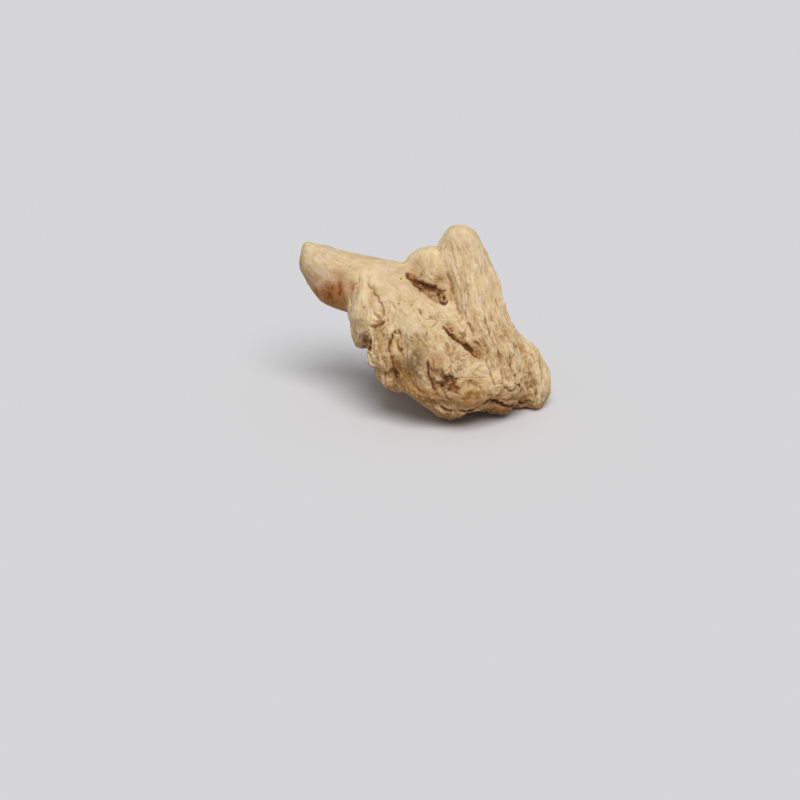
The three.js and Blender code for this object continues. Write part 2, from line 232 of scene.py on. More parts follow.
def lobe_place(stations):
    """All of the skin's gap from a lobe, place across and along it, and how drawn in and how crumpled."""
    ticks, middles = laid_out(stations, 1, 4)
    forward = np.gradient(middles[:, :3], axis=0)
    forward /= np.linalg.norm(forward, axis=1)[:, None]
    outward = FRONT - forward * (forward @ FRONT)[:, None]
    outward /= np.linalg.norm(outward, axis=1)[:, None]
    sideways = np.cross(outward, forward)
    nearest = np.concatenate([
        ((part[:, None] - middles[None, :, :3]) ** 2).sum(2).argmin(1)
        for part in np.array_split(at, 40)
    ])
    arm = at - middles[nearest, :3]
    past = (arm * forward[nearest]).sum(1)
    across = np.stack([(arm * sideways[nearest]).sum(1), (arm * outward[nearest]).sum(1)], axis=1)
    gap = np.linalg.norm(arm, axis=1) - middles[nearest, 3]
    return gap, across, ticks[nearest] + past, middles[nearest, 4], middles[nearest, 5]


# Each bit of skin belongs to its nearest lobe, and near a border in part to the next one as well.
gaps, acrosses, alongs, pulls_in, crushes = zip(*(lobe_place(stations) for stations in LOBES.values()))
gaps = np.stack(gaps, axis=1)
shares = np.exp(-(gaps - gaps.min(1)[:, None]) / LOBE_BORDER)
shares[shares < LEAST_SHARE] = 0
shares /= shares.sum(1)[:, None]
owner = shares.argmax(1)
drawn = (shares * np.stack(pulls_in, axis=1)).sum(1)
crumpled = (shares * np.stack(crushes, axis=1)).sum(1)
drawn = np.clip(drawn * (1 + 0.5 * mottle(at, 7, 31)), 0, 1.3)
crumpled = np.clip(crumpled * (1 + 0.9 * mottle(at, 5, 32)), 0, 1.4)
for middle, reach, taut in TAUT:
    loose = 1 - taut * close_to(middle, reach, 0.5)
    drawn, crumpled = drawn * loose, crumpled * loose

# The wrinkles are the narrow valleys of a noise that is stretched along the fibres and sways with them.
sway = np.stack([mottle(at, 6, 11 + k) + 0.25 * mottle(at, 2.2, 14 + k) for k in range(3)], axis=1)
sway *= (WANDER * (0.35 + 0.65 * crumpled))[:, None]
wrinkled = np.zeros(len(at))
furrowed = np.zeros(len(at))
fibre = np.zeros((len(at), 3))
for strength, wrinkles, seed in ((drawn, DRAWN, 21), (crumpled, CRUMPLED, 25)):
    for size, wrinkle in enumerate(wrinkles):
        bare = 0.5 - 0.8 * wrinkle["share"]
        strewn = ease(mottle(at, 3.6, seed + size), bare, bare + 0.25) * strength
        stretch = np.array([1, 1, 1 / wrinkle["long"]]) / wrinkle["apart"]
        for number, (across, along) in enumerate(zip(acrosses, alongs)):
            here = np.flatnonzero(shares[:, number])
            wandered = np.column_stack([across[here], along[here]]) + sway[here]
            spots = wandered * stretch + (number * 4.1 + seed + size * 7.7)
            folds = np.array([abs(noise.noise(Vector(spot))) for spot in spots])
            valley = np.maximum(0, 1 - folds * wrinkle["narrow"]) * strewn[here] * shares[here, number]
            wrinkled[here] -= wrinkle["deep"] * valley
            furrowed[here] += wrinkle["deep"] * valley
for number, (across, along) in enumerate(zip(acrosses, alongs)):
    mine = np.flatnonzero(owner == number)
    fibre[mine] = np.column_stack([across[mine], along[mine] / FIBRE_LENGTH]) + number * 9.3
wrinkled += 0.22 * mottle(at, 4.6, 41) * (0.5 + 0.5 * drawn)
wrinkled += (0.05 + 0.16 * crumpled) * mottle(at, 0.7, 42)

# ---------------------------------------------------------------------------------------------------
# Tears and folds. Where the flesh shrank most the skin tore or folded over itself, along lines on the
# surface: [x, y, z] points, how wide and how deep they are drawn in, how far the lip on one side stands
# up, and how dark it is painted inside: the torn flesh's darker brown with painted shade in the slot,
# the painted shade deepest where a tear runs between two lobes, under an overhang or under the knob.
# A lip above 0 stands to the right of the line, one below 0 to its left.
TEARS = {
    "round the nub": ([(-17.5, 2.7, 38.6), (-18.4, 1, 36.7), (-20, 0.8, 35), (-20.7, -0.1, 32.7),
                       (-20.8, -1.8, 30.1)], 0.7, 0.4, -0.3, 0.3),
    "beside the nub": ([(-16.7, 0.5, 37.1), (-14.6, -1.9, 35.7), (-13.2, -3.4, 34), (-12.1, -5, 31.7),
                        (-12.5, -7.1, 29.3)], 0.8, 0.5, -0.3, 0.3),
    "nub fold": ([(-15.1, -4.7, 32.2), (-13.6, -5.4, 30.1), (-13.2, -7.6, 28.4)], 0.6, 0.35, -0.25, 0.3),
    "nub mark": ([(-18.5, -5.2, 30.9), (-17.3, -5.3, 31.9), (-16.1, -5.9, 31.5)], 0.5, 0.35, 0.2, 0.5),
    "under the nub": ([(-15.5, -6.9, 26.7), (-13.6, -7.7, 27.5), (-12.1, -8.2, 28.7),
                       (-10.9, -7.7, 29.7)], 0.8, 0.6, -0.4, 0.7),
    "nub's edge": ([(-12, -9.6, 28.1), (-11.5, -11.8, 26), (-11.9, -12.8, 23.8),
                    (-13, -14.2, 22.1)], 0.8, 0.6, -0.5, 0.6),
    "first fold": ([(-8.2, -11.8, 27.5), (-9.4, -12.1, 25.9), (-9.9, -13, 23.6), (-9.6, -15.1, 21.6),
                    (-9.1, -15.5, 19.4), (-8.8, -15.9, 17.2), (-8.2, -16.4, 14.2)], 0.6, 0.6, -0.5, 0.8),
    "second fold": ([(-7.5, -11.4, 28.5), (-6.9, -12.6, 26.4), (-8, -13, 24.2), (-6.9, -14.9, 22.7),
                     (-6.5, -16.6, 21.1)], 0.6, 0.6, -0.5, 0.8),
    "third fold": ([(-6.4, -13.3, 25.2), (-5.3, -16.1, 23.2), (-5.6, -17.6, 20.6)], 0.6, 0.4, 0.3, 0.5),
    "outer fold": ([(-11.1, -12.3, 24.8), (-10.9, -14.5, 22.2), (-11.3, -15.4, 19.1),
                    (-10.9, -15.5, 15.6)], 0.7, 0.4, -0.3, 0.3),
    "ochre patch's edge": ([(1.9, -15.3, 24.6), (1.4, -18.5, 22.5), (1.9, -20, 20.2), (3.6, -20.4, 18.7),
                            (6, -20.6, 19.6), (7, -18.6, 22.3), (6.4, -15.4, 23.8)], 0.6, 0.3, 0.3, 0.25),
    "crater's arc": ([(0.6, -18.7, 22.3), (0.4, -19.5, 20.3), (0.6, -19.5, 18), (1.4, -19.8, 16.3),
                      (2.1, -20.3, 14.2), (3.2, -20.3, 12.4)], 0.8, 0.6, -0.45, 0.9),
    "crater's upper arc": ([(0.7, -19.6, 20.6), (1.9, -19.9, 19.2), (3.1, -20.3, 18.6),
                            (4.4, -20.7, 17.9)], 0.7, 0.5, -0.3, 0.8),
    "crater's second arc": ([(1.4, -19.7, 16.8), (2.6, -20, 15.9), (4.2, -20.4, 14.8), (5.6, -20.5, 13.8),
                             (7.2, -20.6, 13.4)], 0.7, 0.5, -0.3, 0.65),
    "crater's third arc": ([(5.2, -20.7, 19.4), (6.3, -21, 18.1), (6.9, -20.4, 15.7), (8, -20.4, 14.1),
                            (9.3, -20.1, 14.4), (10.9, -19.7, 14.9)], 0.8, 0.5, 0.4, 0.8),
    "bud's upper crease": ([(8.5, -20.3, 14.2), (10.1, -19.8, 15), (11.5, -19.5, 15.4),
                            (13.4, -19, 15.6)], 0.7, 0.45, 0.3, 0.6),
    "front mark": ([(-0.2, -12.7, 28.2), (0.5, -14.7, 26.1)], 0.6, 0.4, 0.2, 0.6),
    "lower front mark": ([(0.4, -18.6, 22.3), (0.8, -19.7, 20.4)], 0.6, 0.3, 0.2, 0.6),
    # Painted shadow: the gap where the front lobe's upper edge overlaps the right lobe is painted near
    # black.
    "between the lobes": ([(4.7, -9.7, 27.9), (6.1, -10.1, 26.8), (7.4, -10.9, 25.8), (9, -11.3, 24.5),
                           (10.4, -12.2, 23.3), (11.7, -12.4, 22.2), (13.2, -12.8, 21.1),
                           (15.7, -13.1, 20.1)], 0.75, 0.9, -0.6, 0.95),
    "over the groove": ([(4.9, -8.5, 28.8), (6.3, -8.7, 28.1), (7.3, -9.8, 26.8), (9.2, -10.4, 26.2),
                         (10.4, -9.9, 26.3)], 0.8, 0.7, -0.5, 0.75),
    "knob's foot": ([(10.6, -7.2, 28.2), (11.4, -8.5, 27.9), (12.2, -9.5, 27.1), (13, -10.4, 26.3),
                     (13.5, -10.9, 25.3)], 0.8, 0.5, -0.4, 0.6),
    "beside the groove": ([(10.3, -11.1, 24.4), (11.2, -11.9, 23.5), (12.4, -12.1, 22.3),
                           (14.1, -12.5, 21.2), (15.7, -12.7, 20.4)], 0.9, 0.8, -0.5, 0.85),
    "far beside the groove": ([(12.4, -10.8, 24.9), (13.4, -11.4, 23.5), (14.9, -12, 22.9),
                               (16.5, -12.1, 21.5)], 0.8, 0.5, -0.4, 0.45),
    "wavy fold": ([(17.1, -11.7, 22.5), (17.2, -12.6, 19.9), (16.7, -14.9, 18.8), (17.8, -15.5, 16.4),
                   (18.2, -17.6, 15), (19.4, -18.1, 13.2)], 0.7, 0.6, 0.5, 0.5),
    "second wavy fold": ([(19.8, -10.5, 22.5), (20.2, -11.3, 19.6), (21.5, -12.2, 17),
                          (20.9, -14.5, 14.8), (22, -14.9, 11.7)], 0.7, 0.5, 0.5, 0.25),
    "low arc": ([(16.1, -19.6, 11.8), (17.8, -19, 10.6), (19.7, -17.8, 10.4), (21.6, -13.4, 7.4),
                 (23.9, -11.9, 7), (26.3, -10.1, 5.6)], 0.6, 0.4, 0.5, 0.3),
    "short fold": ([(22.9, -9.5, 20), (23.5, -10.1, 17.9), (23.9, -11.4, 15.8), (24.7, -12.2, 13.5),
                    (24.2, -14.1, 11.6)], 0.7, 0.6, 0.5, 0.5),
    "curved fold": ([(20.6, -13.2, 16.3), (20.9, -15.1, 14.2), (21.6, -15.1, 11.8), (23.2, -14.3, 10.1),
                     (24.6, -13.4, 10.1), (25.4, -13.2, 11.8)], 0.7, 0.5, 0.4, 0.5),
    "inner curved fold": ([(22.1, -11.9, 16.9), (22.3, -13.1, 14.8), (23.1, -14.4, 13.2),
                           (24.2, -14, 12.2)], 0.6, 0.3, 0.2, 0.3),
    "heel fold": ([(27.1, -6.4, 17.2), (28.8, -5.8, 13.7), (29.2, -6.6, 10.3),
                   (29.6, -6.3, 7.2)], 0.6, 0.4, 0.35, 0.3),
    "heel mark": ([(24.8, -13.6, 12.6), (26, -12.6, 11), (27.2, -10.7, 11)], 0.7, 0.5, 0.2, 0.7),
    "heel furrow": ([(31.9, -4.2, 14.7), (32.5, -4.9, 11.4), (31.9, -6.5, 7.8)], 0.6, 0.3, 0.25, 0.25),
    # Painted shade: the skin under the right lobe's overhanging lower edge is painted dark.
    "under the edge": ([(14.7, -17.4, 6.9), (17.2, -17.4, 9), (20.2, -15.4, 7.6), (23.4, -12.7, 5.1),
                        (26.8, -6.3, 2.4), (29.3, -6.2, 3.3)], 1.2, 0.9, -0.5, 1),
    "low front wrinkle": ([(1, -20.3, 13), (2.6, -20.1, 11.4), (4.8, -20.1, 11.1),
                           (7, -19.7, 9.8)], 0.6, 0.4, -0.45, 0.5),
    "second low front wrinkle": ([(2.9, -20.3, 14.2), (4.5, -20.5, 13.1), (5.6, -20, 10.5),
                                  (7.3, -18.7, 7.8)], 0.6, 0.4, 0.4, 0.45),
    "front's lower lip": ([(-0.3, -20.3, 10.6), (1.6, -19.4, 9.1), (4, -18.7, 8.5),
                           (5.7, -18.9, 7.3)], 0.6, 0.45, -0.5, 0.5),
    "olive wrinkle": ([(-4.4, -18, 15.8), (-3.3, -19.1, 13.9), (-1.7, -20, 12.5),
                       (0.5, -20.4, 11.8)], 0.6, 0.35, 0.35, 0.3),
    "grey wrinkle": ([(-3.9, -15.7, 24.5), (-3.1, -17.2, 22.5), (-2.3, -18.7, 20.5),
                      (-1.2, -19.4, 18.8)], 0.6, 0.3, 0.35, 0.2),
    "front ridge": ([(-0.4, -15.2, 24.9), (0.7, -16.7, 23.7), (1, -18.2, 22.7)], 0.6, 0.35, -0.5, 0.35),
    "over the bud": ([(9.3, -20.4, 14.2), (11.2, -19.6, 15), (13.4, -19.1, 14.8), (15.3, -19.8, 13.1),
                      (15.9, -19.6, 10.3)], 0.7, 0.35, 0.3, 0.3),
    # Painted shade under the bud's lower edge.
    "under the bud": ([(3.2, -19, 7.9), (5.7, -18.9, 7), (7.8, -19.1, 6.6), (11.9, -18.8, 6.2),
                       (15.7, -17.8, 7.5), (17.6, -18.4, 9.7)], 1, 0.8, -0.4, 0.8),
    "knob furrow": ([(5.5, 1.3, 39.8), (5.9, 0.9, 37.9), (6.5, -0.2, 36.3), (7.1, -1.1, 34.5),
                     (8, -2.3, 32.7), (8.3, -3.8, 30.6), (8.8, -6.4, 28.5)], 0.6, 0.3, 0.2, 0.35),
    "long furrow": ([(15.8, -6.1, 30.4), (16, -7.4, 29.2), (16.5, -8.7, 27.7), (17.3, -9.6, 26),
                     (17.6, -10.9, 24.5)], 0.7, 0.5, 0.3, 0.5),
    "side furrow": ([(18.7, 0.1, 32.6), (20.6, -1.7, 29.2), (21.4, -3.8, 27.4)], 0.7, 0.4, 0.3, 0.3),
    "middle furrow": ([(11.9, -8.6, 27.9), (13, -10.2, 26.5), (12.7, -10.9, 25.1)], 0.6, 0.4, 0.3, 0.6),
    "edge furrow": ([(21.9, -5.7, 24.9), (23.5, -7.6, 22.8), (25.5, -7.4, 19.7)], 0.7, 0.4, 0.3, 0.4),
    "low furrow": ([(13.8, -10.7, 25.6), (14.9, -11.6, 23.6), (16.5, -12, 22)], 0.7, 0.4, 0.3, 0.4),
    "plate mark": ([(-3, -7.5, 31.6), (-1.5, -7.4, 30.8), (-0.3, -8.2, 29.8)], 0.9, 0.4, 0.2, 0.35),
    "plate fold": ([(-11.4, -0.1, 38.6), (-9.3, -1.9, 36.9), (-6.5, -3.6, 35.3),
                    (-3.8, -5.4, 33.6)], 0.7, 0.2, 0.15, 0.12),
    "lower plate fold": ([(-11.2, -4.8, 33.4), (-8.7, -6.8, 31.9),
                          (-6, -8.4, 31.1)], 0.7, 0.25, 0.2, 0.15),
    "front wrinkle": ([(-2.2, -10.3, 29.2), (0.5, -11.6, 28.6), (2.7, -10.3, 28.7),
                       (4.3, -7.8, 29.3)], 0.7, 0.3, 0.2, 0.3),
    "thumb crease": ([(-24.2, 6.1, 39.7), (-22.5, 5.7, 39.3), (-20.6, 5.2, 39.4),
                      (-18.9, 5.4, 39.9)], 0.7, 0.15, 0.1, 0.12),
    "thumb's second crease": ([(-28.6, 6.4, 40.1), (-26.7, 7.3, 41),
                               (-24.8, 7.9, 41)], 0.7, 0.12, 0.1, 0.1),
    "cavity's edge": ([(-5.7, 0.4, 38.9), (-4.1, 0.5, 36.8), (-2.4, -0.3, 35.4), (-0.8, -0.9, 34.2),
                       (1.1, -2.1, 32.9), (3, -3.2, 32.5), (5.2, -3.6, 31.7)], 0.5, 0.35, 0.45, 0.5),
    # Painted shadow under the knob: the underside of its overhang is painted dark along the cavity.
    "cavity's roof": ([(-5.8, 1.9, 39.5), (-4.3, 0.6, 38.3), (-2.6, 0.6, 36.8), (-0.8, 0.2, 35.8),
                       (1.1, -0.3, 35.4), (3.3, -0.5, 34.9), (5.5, -3.4, 31.9)], 1, 0.5, -0.5, 0.7),
    "back fold": ([(20, 9.5, 17), (11, 13.5, 21), (1, 15, 23.5), (-9, 13, 26)], 1.1, 0.9, 0.5, 0.85),
    "back furrow": ([(9, 12, 46), (13, 12, 38), (15, 10, 30), (21, 7, 22)], 0.8, 0.5, 0.3, 0.35),
    "back tear": ([(-8, 20, 10), (-1, 21, 12), (7, 20, 13), (14, 15, 14)], 0.9, 0.7, -0.5, 0.6),
    "low tear": ([(-12, 16, 5), (-4, 19, 5), (5, 18, 4), (12, 15, 4)], 0.8, 0.6, 0.4, 0.6),
    "thumb's back": ([(-22, 15, 36), (-15, 14, 37), (-9, 13, 38)], 0.8, 0.2, 0.15, 0.1),
    "bud's root": ([(-4, 14, 25), (-1, 14, 29), (3, 13, 31), (7, 13, 28)], 0.9, 0.7, -0.4, 0.6),
    "underside": ([(-12, -8, 9), (-4, -6, 8), (3, -3, 7)], 0.9, 0.7, 0.4, 0.7),
}
# The points of a tear lie a step apart and stray a little from its line. Its lip stands beside it, steep
# on the tear's side and soft on the far side, and tears darker than OPEN_DUSK stay open all the way.
TEAR_STEP = 0.25
STRAY = 0.5
STRAY_SPAN = 1.6
STRAY_SEED = 2
LIP_BESIDE = 0.6
LIP_STEEP = 0.3
LIP_SOFT = 1.9
LIP_RISE = 0.7
OPEN_DUSK = 0.85
settled = BVHTree.FromBMesh(skin)
ragged = 0.5 * mottle(at, 1.7, 61) + 0.4 * mottle(at, 0.8, 62)
broken = 0.4 + 0.6 * ease(mottle(at, 3.4, 63), -0.3, 0.1)
torn = np.zeros(len(at))
torn_flesh_and_shade = np.zeros(len(at))
tear_halo = np.zeros(len(at))
noise.seed_set(STRAY_SEED)
for points, wide, deep, lip, dusk in TEARS.values():
    course = laid_out(points, TEAR_STEP, 6)[1]
    seam = KDTree(len(course))
    seated = []
    for index, point in enumerate(course):
        strayed = Vector(point) + noise.noise_vector(Vector(point) / STRAY_SPAN) * STRAY
        seated.append(settled.find_nearest(strayed * MM)[0] / MM)
        seam.insert(seated[-1], index)
    seam.balance()
    seated = np.array(seated)
    found = [seam.find(Vector(p)) for p in at]
    nearest = np.array([index for _, index, _ in found])
    away = np.array([distance for _, _, distance in found])
    ahead = np.gradient(seated, axis=0)[nearest]
    right = (np.cross(ahead, out) * (at - seated[nearest])).sum(1)
    beside = away * np.sign(right * lip) + 0.5 * ragged
    # A tear closes towards both its ends, and most tears also close here and there on the way.
    taper = ease(np.minimum(nearest, len(course) - 1 - nearest) * TEAR_STEP, -0.4, 1.8)
    opened = np.where(away < 4, np.maximum(broken, OPEN_DUSK * (dusk > OPEN_DUSK)) * taper, 0)
    slot = np.exp(-(beside / np.where(beside < 0, 0.8 * wide, 0.35 * wide)) ** 2) * opened
    slope = np.where(beside < LIP_BESIDE, LIP_STEEP, LIP_SOFT)
    ridge = np.exp(-((beside - LIP_BESIDE) / slope) ** 2) * opened
    halo = np.exp(-((beside - 0.3) / (1.5 * wide)) ** 2) * np.where(away < 5, taper, 0)
    torn += LIP_RISE * abs(lip) * ridge * (1 - slot) - deep * slot
    torn_flesh_and_shade = np.maximum(torn_flesh_and_shade, dusk * ease(slot, 0.25, 0.8))
    tear_halo = np.maximum(tear_halo, dusk * halo)
torn = np.clip(torn, -1.3, 0.8)

# ---------------------------------------------------------------------------------------------------
# Scars, where a stem or a bud broke off, and holes in the torn flesh: crumbly, and painted dark with the
# torn flesh's brown and painted shade in the holes. Each is its middle, its reach, how far it sinks and
# how dark it is painted.
SCARS = {
    "nub scar": ((-16.1, -8.6, 22.4), 3, 0.2, 0.55),
    "left nub hole": ((-16.7, -7.3, 22), 0.9, 0.4, 1),
    "nub hole": ((-15.8, -10.8, 24.2), 1.1, 0.4, 1),
    "other nub hole": ((-15.2, -11, 22.6), 1.3, 0.4, 1),
    # The knob's scars and holes also paint the shadow under the knob's overhang into its cavity.
    "knob scar": ((-4.4, 0.8, 38.2), 1.9, 0.2, 0.7),
    "second knob scar": ((-2.6, 0.5, 36.6), 1.8, 0.1, 0.65),
    "third knob scar": ((-0.8, 0.2, 35.6), 2, 0.2, 0.7),
    "fourth knob scar": ((1.6, -0.2, 35), 1.9, 0.1, 0.65),
    "fifth knob scar": ((3.6, -1, 34.2), 1.9, 0.2, 0.75),
    "sixth knob scar": ((1.2, -0.9, 33.6), 2, 0.15, 0.6),
    "seventh knob scar": ((3.2, -1.6, 32.8), 1.7, 0.2, 0.6),
    "knob hole": ((-4.6, 0.8, 38.5), 0.8, 0.4, 1),
    "middle knob hole": ((-1.4, 0.2, 35.4), 0.9, 0.4, 1),
    "lower knob hole": ((3.5, -1.1, 34.3), 1.3, 0.5, 1),
    "cavity's tail": ((5.3, -3.3, 32), 0.9, 0.3, 0.9),
    "last knob hole": ((4.4, -2.1, 32.9), 1.2, 0.4, 0.95),
    "crater": ((5.3, -20.6, 16.2), 3, 0.35, 0.7),
    "crater hole": ((5.4, -20.8, 16.6), 1.2, 0.5, 1),
    "second crater hole": ((4.3, -20.4, 14.7), 1, 0.4, 0.95),
    "third crater hole": ((6.4, -20.5, 13.8), 0.9, 0.4, 0.95),
    "crater's edge": ((7.6, -20.5, 14), 1.9, 0.1, 0.5),
    "fold hole": ((-8.3, -16.1, 16), 1.1, 0.4, 0.95),
    # The groove's scars paint shade into the groove between the lobes.
    "groove's head": ((5, -9.9, 27.6), 0.7, 0.3, 0.85),
    "upper groove": ((6.9, -10.9, 26), 0.8, 0.3, 0.9),
    "lower groove": ((12.3, -14, 22), 1, 0.3, 0.8),
    "over the groove": ((10.4, -10.6, 25.8), 1.3, 0.3, 0.7),
    "fold's head": ((-8.2, -12, 27), 0.9, 0.3, 0.85),
    "middle fold": ((-9.2, -15.2, 20.8), 0.7, 0.2, 0.7),
    "inner fold": ((-7, -14.4, 23.2), 0.9, 0.3, 0.8),
    "heel pit": ((26.3, -12.4, 10.8), 0.8, 0.4, 0.9),
    "back bud scar": ((-0.5, 20, 24.5), 3, 0.4, 0.7),
    "back lobe scar": ((-17.5, 14, 10), 3.4, 0.5, 0.65),
    "rootlet scar": ((-6, -3, 9), 1.4, 0.4, 0.8),
    "other rootlet scar": ((1, 19.5, 5), 1.3, 0.4, 0.8),
}
CRUMB = 0.95
CRUMB_EDGE = 0.35
CRUMB_RISE = 0.75
SOFTENED = 0.18
scarred = np.zeros(len(at))
sunk = np.zeros(len(at))
for middle, reach, deep, dusk in SCARS.values():
    seat = settled.find_nearest(Vector(middle) * MM)[0] / MM
    away = np.linalg.norm(at - np.array(seat), axis=1) / reach
    near = ease(1 - away * (1 + 1.3 * ragged), 0, 0.55)
    scarred = np.maximum(scarred, near * dusk)
    sunk = np.minimum(sunk, -deep * near)
crumbly = np.maximum(scarred, 0.45 * ease(torn_flesh_and_shade, 0.3, 0.8))
crumbs = np.zeros(len(at))
for index in np.flatnonzero(crumbly > 0.02):
    spot = Vector(at[index] + 0.35 * ragged[index]) / CRUMB
    (first, second, *_), (heart, *_) = noise.voronoi(spot)
    crumbs[index] = min(1, max(0, (second - first) / CRUMB_EDGE)) * (0.3 + 0.7 * noise.cell(heart * 7.3))

# All of this relief goes straight out of the skin or into it, and none of it goes below the table.
relief = wrinkled * (1 - 0.6 * crumbly) + torn + sunk + CRUMB_RISE * crumbly * (crumbs - 0.5)
relief *= clear
at = at + out * relief[:, None]
at[:, 2] = np.maximum(at[:, 2], 0)
for vert, spot in zip(skin.verts, at):
    vert.co = Vector(spot) * MM
bmesh.ops.smooth_vert(
    skin, verts=skin.verts, factor=SOFTENED, use_axis_x=True, use_axis_y=True, use_axis_z=True)
bmesh.ops.triangulate(skin, faces=skin.faces)
for face in skin.faces:
    face.smooth = True
skin.to_mesh(dense_mesh)
skin.free()

# ---------------------------------------------------------------------------------------------------
# The skin's colour. Bleached buff flesh with painted highlights on its ridges, ochre where the bleach
# missed it, painted brown shade in its hollows, wrinkles and tear slots and on skin that faces down, a
# brown halo beside its tears, a grey bruise, a rusty stain under the thumb, and dark torn flesh.
BROAD_ROUNDS = 24
NEAR_ROUNDS = 5
PEEL_ROUNDS = 14
# How far each point lies below or above the smoothed skin: the masks for the painted shade in the hollows
# and the painted highlights on the ridges.
broad_level = np.stack([spread(at[:, k], BROAD_ROUNDS) for k in range(3)], axis=1)
near_level = np.stack([spread(at[:, k], NEAR_ROUNDS) for k in range(3)], axis=1)
painted_hollow_shade = -((at - broad_level) * out).sum(1)
fine_shade_and_highlight = -((at - near_level) * out).sum(1)
drift = mottle(at, 3.2, 64)


def patch(middle, reach):
    """A soft patch on the skin round a point, with an uneven edge."""
    away = np.linalg.norm((at - np.array(middle)) / np.array(reach), axis=1)
    return np.exp(-2 * (away * (1 + 0.35 * ragged + 0.5 * drift)) ** 2)


# How much of each lobe was peeled down to the pale flesh.
PEELED = {"left thumb": 1, "middle plate": 1, "front lobe": 0.3, "left nub": 0.1, "right lobe": 0.35}
# The patches of each stain, with one russet patch that is painted shade: how strong, the middle's [x, y,
# z], and the reach along each axis.
PATCHES = {
    "stain": [(1, (-25, 2.6, 33), (4.6, 5, 4.4)), (0.9, (-26.6, 3, 32.2), (9, 7, 6))],
    "grey": [(1.4, (-2.9, -17.3, 21.6), (3.5, 5, 6)), (0.7, (-3, -15.1, 25.1), (4, 5, 4)),
             (0.65, (-18.8, -6.2, 26.6), (2.5, 3, 3.5)), (0.6, (-18.6, -7, 23.8), (3, 4, 3)),
             (0.35, (-34, 11, 45.5), (3, 4, 2.5)), (0.3, (-5.6, -10.8, 29.2), (3.4, 5, 3))],
    "olive": [(1.3, (-5.5, -17.9, 14.6), (4.4, 5, 6)), (0.4, (-8.2, -15.8, 19.2), (2, 3, 3)),
              (0.3, (3.9, 1, 38.4), (2, 3, 3.6))],
    "ochre": [(0.85, (2.4, -19, 21.4), (6.6, 5, 8)), (1.3, (-7.2, -16, 18.8), (3, 4, 4.2)),
              (1.3, (-0.3, -20.4, 11.5), (8, 5, 5)), (1.2, (12, -20.4, 12), (9.5, 6, 6.4)),
              (0.7, (6.9, -20.6, 13.1), (4, 3, 3)), (0.6, (-1.5, 2.9, 40.4), (6, 5, 4.4)),
              (0.4, (3.9, 1, 38.4), (2.4, 3, 4.5)), (0.45, (-16.5, -1, 31), (4, 4, 5)),
              (0.4, (6.4, -1, 34.6), (1.8, 3, 4.5)), (0.7, (1.4, 2.3, 40.8), (1.6, 3, 3.5)),
              (0.6, (-3.2, 2.5, 39), (2.5, 3, 2)), (0.7, (-13.3, -10.5, 26.9), (2.2, 4, 2.4)),
              (0.6, (-15.5, 18, 12), (9, 5, 6)), (0.6, (13, -12.5, 22.5), (5, 3, 2.4)),
              (0.5, (-13, -15, 12), (4, 4, 6)), (0.5, (10.4, 4, 46.5), (3, 5, 3))],
    "russet": [(0.5, (-27, 3, 31.4), (8, 7, 5.5)), (0.4, (-32, 7, 35.5), (6, 6, 5)),
               # The first russet patch here, low under the right lobe by the table, is painted shade:
               # that skin is made dark red-brown as if in shadow.
               (1.4, (21, -13, 1.2), (13, 10, 4.6)), (1.2, (-8.2, -15.9, 17), (2.8, 3, 5.4)),
               (0.5, (-13.3, -10.5, 26.9), (1.6, 3, 1.6)), (0.35, (-16.4, -8, 23), (3.2, 6, 3.4)),
               (0.45, (-35.2, 8, 39), (2, 5, 5)), (0.6, (-1, 0, 36), (5, 3, 2.6))],
}
# What the material reads from the skin, point by point.
tints = {
    # The hollows' depth, for the painted shade in them, and the ridges' height, for the painted
    # highlights on them.
    "painted_hollow_shade": np.clip(painted_hollow_shade / 0.5, -1, 1),
    "fine_shade_and_highlight": np.clip(fine_shade_and_highlight / 0.12, -1, 1),
    # How deep the wrinkles draw the skin in, for the painted shade in their valleys.
    "furrow": np.clip(furrowed, 0, 1),
    # Dark torn flesh in the tears and scars, with painted shade in their slots and holes.
    "torn_flesh_and_shade": np.maximum(torn_flesh_and_shade, scarred * (1 - 0.75 * crumbs)),
    "crumb": crumbs * crumbly,
    # A brown halo beside each tear.
    "tear_halo": tear_halo,
    "own": ease(shares.max(1), 0.6, 0.95),
    "peeled": spread(shares @ np.array([PEELED.get(name, 0) for name in LOBES]), PEEL_ROUNDS),
    "drawn": np.clip(drawn, 0, 1),
    "crumpled": np.clip(crumpled, 0, 1),
    # Painted shade: skin that faces down is made darker and browner, as if shaded, partly also the
    # browner skin under the root.
    "underside": ease(-out[:, 2], -0.12, 0.65),
}
for name, patches in PATCHES.items():
    tints[name] = np.max([strong * patch(middle, reach) for strong, middle, reach in patches], axis=0)
for name, values in tints.items():
    layer = dense_mesh.attributes.new(name, "FLOAT", "POINT")
    layer.data.foreach_set("value", values.astype(np.float32))
layer = dense_mesh.attributes.new("fibre", "FLOAT_VECTOR", "POINT")
layer.data.foreach_set("vector", fibre.astype(np.float32).ravel())


def as_seen(red, green, blue):
    """A colour as it is seen, 0 to 255, in the linear light that the shader reads."""
    return [((c / 255 + 0.055) / 1.055) ** 2.4 if c > 10 else c / 3295 for c in (red, green, blue)] + [1]


dried = bpy.data.materials.new("dried ginger skin")
dried.use_nodes = True
nodes = dried.node_tree.nodes
links = dried.node_tree.links
skin_shader = nodes["Principled BSDF"]
skin_shader.inputs["Specular IOR Level"].default_value = 0.2


def read(name):
    """The skin's own layer of that name."""
    layer = nodes.new("ShaderNodeAttribute")
    layer.attribute_name = name
    return layer.outputs["Fac"]


